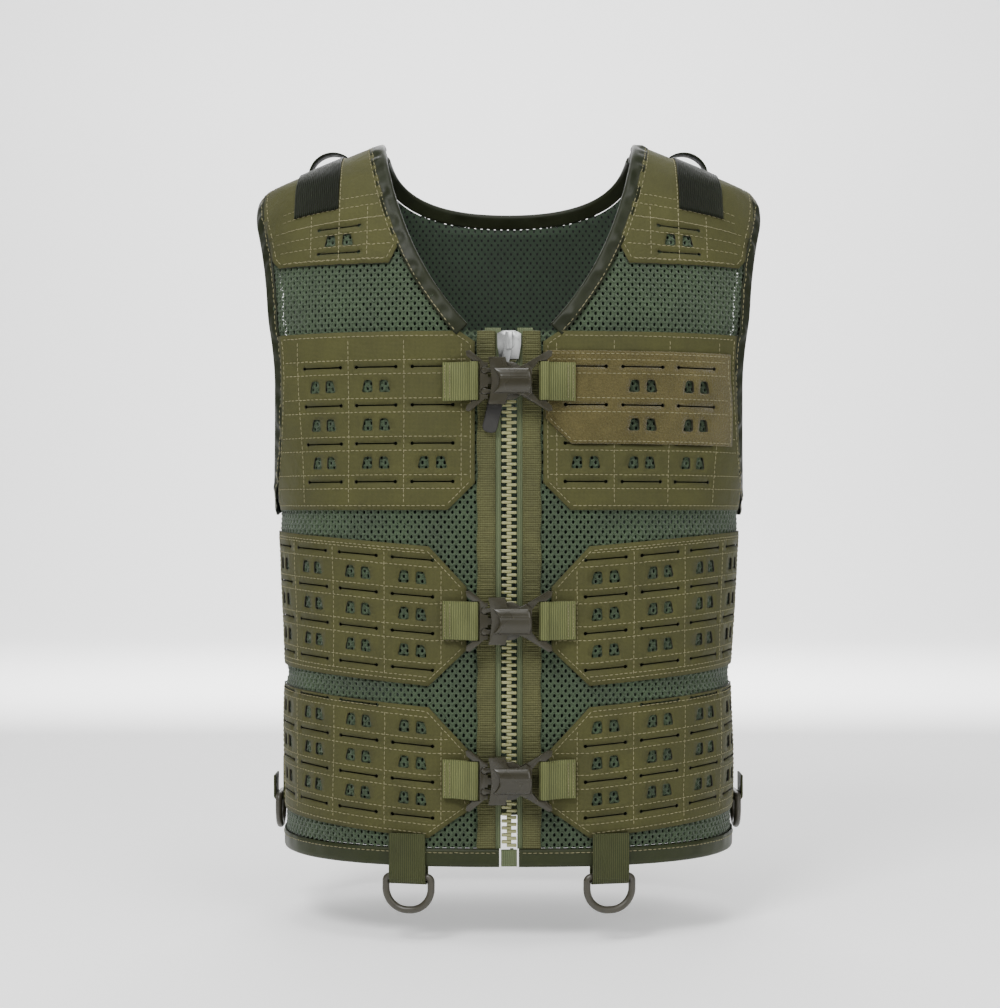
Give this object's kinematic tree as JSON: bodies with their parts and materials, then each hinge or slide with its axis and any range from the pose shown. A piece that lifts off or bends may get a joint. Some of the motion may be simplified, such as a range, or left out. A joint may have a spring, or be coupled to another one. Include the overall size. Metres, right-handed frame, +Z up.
{
  "type": "load-carrying vest",
  "caption": "Zip-fronted mesh vest with laser-cut equipment panels, side-release buckles, shoulder elastic, a loop patch and hem rings for hanging gear.",
  "frame": {"origin": "middle of the body opening at the level of the hem's lower edge", "axes": "+Z up, -Y the front with the zip, +X the wearer's left"},
  "size_m": [0.3576, 0.2551, 0.5295],
  "materials": {
    "air_mesh": "matt open knit",
    "panel_fabric": "laminated twill, slightly satin",
    "loop_pile": "brushed loop pile",
    "elastic": "ribbed matt",
    "satin_binding": "satin folded tape",
    "hem_tape": "satin folded tape",
    "placket_tape": "ribbed grosgrain",
    "zip_tape": "woven herringbone",
    "webbing": "ribbed webbing",
    "zip_teeth": "moulded acetal",
    "zip_metal": "die-cast, bright",
    "pull_rubber": "moulded matt",
    "buckle_plastic": "moulded acetal, semi-gloss",
    "ring_plastic": "moulded nylon"
  },
  "bodies": {
    "vest": {"mesh_back": "air_mesh", "mesh_front_left": "air_mesh", "mesh_front_right": "air_mesh", "neck_binding": "satin_binding", "hem_binding": "hem_tape", "armhole_binding_left": "satin_binding", "armhole_binding_right": "satin_binding", "chest_panel_left": "panel_fabric", "chest_panel_right": "panel_fabric", "mid_panel_left": "panel_fabric", "mid_panel_right": "panel_fabric", "lower_panel_left": "panel_fabric", "lower_panel_right": "panel_fabric", "shoulder_panel_left": "panel_fabric", "shoulder_panel_right": "panel_fabric", "shoulder_elastic_left": "elastic", "shoulder_elastic_right": "elastic", "shoulder_keeper_left": "elastic", "shoulder_keeper_right": "elastic", "back_upper_panel": "panel_fabric", "back_mid_panel": "panel_fabric", "back_lower_panel": "panel_fabric", "loop_patch": "loop_pile", "placket_tape_left": "placket_tape", "placket_tape_right": "placket_tape", "zip_tape_left": "zip_tape", "zip_tape_right": "zip_tape", "zip_teeth_left": "zip_teeth", "zip_teeth_right": "zip_teeth", "zip_retainer_box": "zip_teeth", "zip_insertion_pin": "zip_teeth", "front_ring_webbing": "webbing", "side_ring_webbing": "webbing", "buckle_bottom_socket": "buckle_plastic", "buckle_bottom_webbing_left": "webbing", "buckle_bottom_webbing_right": "webbing", "buckle_middle_socket": "buckle_plastic", "buckle_middle_webbing_left": "webbing", "buckle_middle_webbing_right": "webbing", "buckle_top_socket": "buckle_plastic", "buckle_top_webbing_left": "webbing", "buckle_top_webbing_right": "webbing"},
    "zip_slider": {"zip_slider": "zip_metal"},
    "zip_pull": {"zip_pull_tab": "zip_metal", "zip_pull_tag": "pull_rubber"},
    "plug_bottom": {"buckle_bottom_plug": "buckle_plastic"},
    "prong_bottom_upper": {"buckle_bottom_prong_upper": "buckle_plastic"},
    "prong_bottom_lower": {"buckle_bottom_prong_lower": "buckle_plastic"},
    "plug_middle": {"buckle_middle_plug": "buckle_plastic"},
    "prong_middle_upper": {"buckle_middle_prong_upper": "buckle_plastic"},
    "prong_middle_lower": {"buckle_middle_prong_lower": "buckle_plastic"},
    "plug_top": {"buckle_top_plug": "buckle_plastic"},
    "prong_top_upper": {"buckle_top_prong_upper": "buckle_plastic"},
    "prong_top_lower": {"buckle_top_prong_lower": "buckle_plastic"},
    "front_ring_left": {"front_ring_left": "ring_plastic"},
    "side_ring_left": {"side_ring_left": "ring_plastic"},
    "front_ring_right": {"front_ring_right": "ring_plastic"},
    "side_ring_right": {"side_ring_right": "ring_plastic"}
  },
  "joints": [
    {"name": "zip_slide", "type": "slide", "parent": "vest", "child": "zip_slider", "axis": [0, 0, -1], "range_m": [0, 0.32], "deforming": ["zip_teeth_left", "zip_teeth_right"]},
    {"name": "zip_pull_swing", "type": "hinge", "parent": "zip_slider", "child": "zip_pull", "pos_m": [0, -0.1216, 0.347], "axis": [0, 1, 0], "range_deg": [-26, 10]},
    {"name": "buckle_bottom_release", "type": "slide", "parent": "vest", "child": "plug_bottom", "axis": [-1, 0, 0], "range_m": [0, 0.024], "deforming": ["buckle_bottom_webbing_right"]},
    {"name": "buckle_bottom_squeeze_upper", "type": "hinge", "parent": "plug_bottom", "child": "prong_bottom_upper", "pos_m": [-0.0162, -0.1299, 0.066], "axis": [0, 1, 0], "range_deg": [0, 6.5], "stiffness_Nm_per_rad": 0.05},
    {"name": "buckle_bottom_squeeze_lower", "type": "hinge", "parent": "plug_bottom", "child": "prong_bottom_lower", "pos_m": [-0.0162, -0.1299, 0.052], "axis": [0, -1, 0], "range_deg": [0, 6.5], "stiffness_Nm_per_rad": 0.05},
    {"name": "buckle_middle_release", "type": "slide", "parent": "vest", "child": "plug_middle", "axis": [-1, 0, 0], "range_m": [0, 0.024], "deforming": ["buckle_middle_webbing_right"]},
    {"name": "buckle_middle_squeeze_upper", "type": "hinge", "parent": "plug_middle", "child": "prong_middle_upper", "pos_m": [-0.0162, -0.1299, 0.171], "axis": [0, 1, 0], "range_deg": [0, 6.5], "stiffness_Nm_per_rad": 0.05},
    {"name": "buckle_middle_squeeze_lower", "type": "hinge", "parent": "plug_middle", "child": "prong_middle_lower", "pos_m": [-0.0162, -0.1299, 0.157], "axis": [0, -1, 0], "range_deg": [0, 6.5], "stiffness_Nm_per_rad": 0.05},
    {"name": "buckle_top_release", "type": "slide", "parent": "vest", "child": "plug_top", "axis": [-1, 0, 0], "range_m": [0, 0.024], "deforming": ["buckle_top_webbing_right"]},
    {"name": "buckle_top_squeeze_upper", "type": "hinge", "parent": "plug_top", "child": "prong_top_upper", "pos_m": [-0.0162, -0.1299, 0.329], "axis": [0, 1, 0], "range_deg": [0, 6.5], "stiffness_Nm_per_rad": 0.05},
    {"name": "buckle_top_squeeze_lower", "type": "hinge", "parent": "plug_top", "child": "prong_top_lower", "pos_m": [-0.0162, -0.1299, 0.315], "axis": [0, -1, 0], "range_deg": [0, 6.5], "stiffness_Nm_per_rad": 0.05},
    {"name": "front_ring_left_swing", "type": "hinge", "parent": "vest", "child": "front_ring_left", "pos_m": [0.067, -0.11112, -0.00745], "axis": [-0.9757, -0.2189, 0], "range_deg": [-60, 110]},
    {"name": "side_ring_left_swing", "type": "hinge", "parent": "vest", "child": "side_ring_left", "pos_m": [0.16465, 0.012, 0.03155], "axis": [0, -1, 0], "range_deg": [0, 110]},
    {"name": "front_ring_right_swing", "type": "hinge", "parent": "vest", "child": "front_ring_right", "pos_m": [-0.067, -0.11112, -0.00745], "axis": [-0.9757, 0.2189, 0], "range_deg": [-60, 110]},
    {"name": "side_ring_right_swing", "type": "hinge", "parent": "vest", "child": "side_ring_right", "pos_m": [-0.16465, 0.012, 0.03155], "axis": [0, 1, 0], "range_deg": [0, 110]}
  ],
  "couplings": [
    {"joint": "buckle_bottom_squeeze_lower", "follows": "buckle_bottom_squeeze_upper", "ratio": 1},
    {"joint": "buckle_middle_squeeze_lower", "follows": "buckle_middle_squeeze_upper", "ratio": 1},
    {"joint": "buckle_top_squeeze_lower", "follows": "buckle_top_squeeze_upper", "ratio": 1}
  ]
}
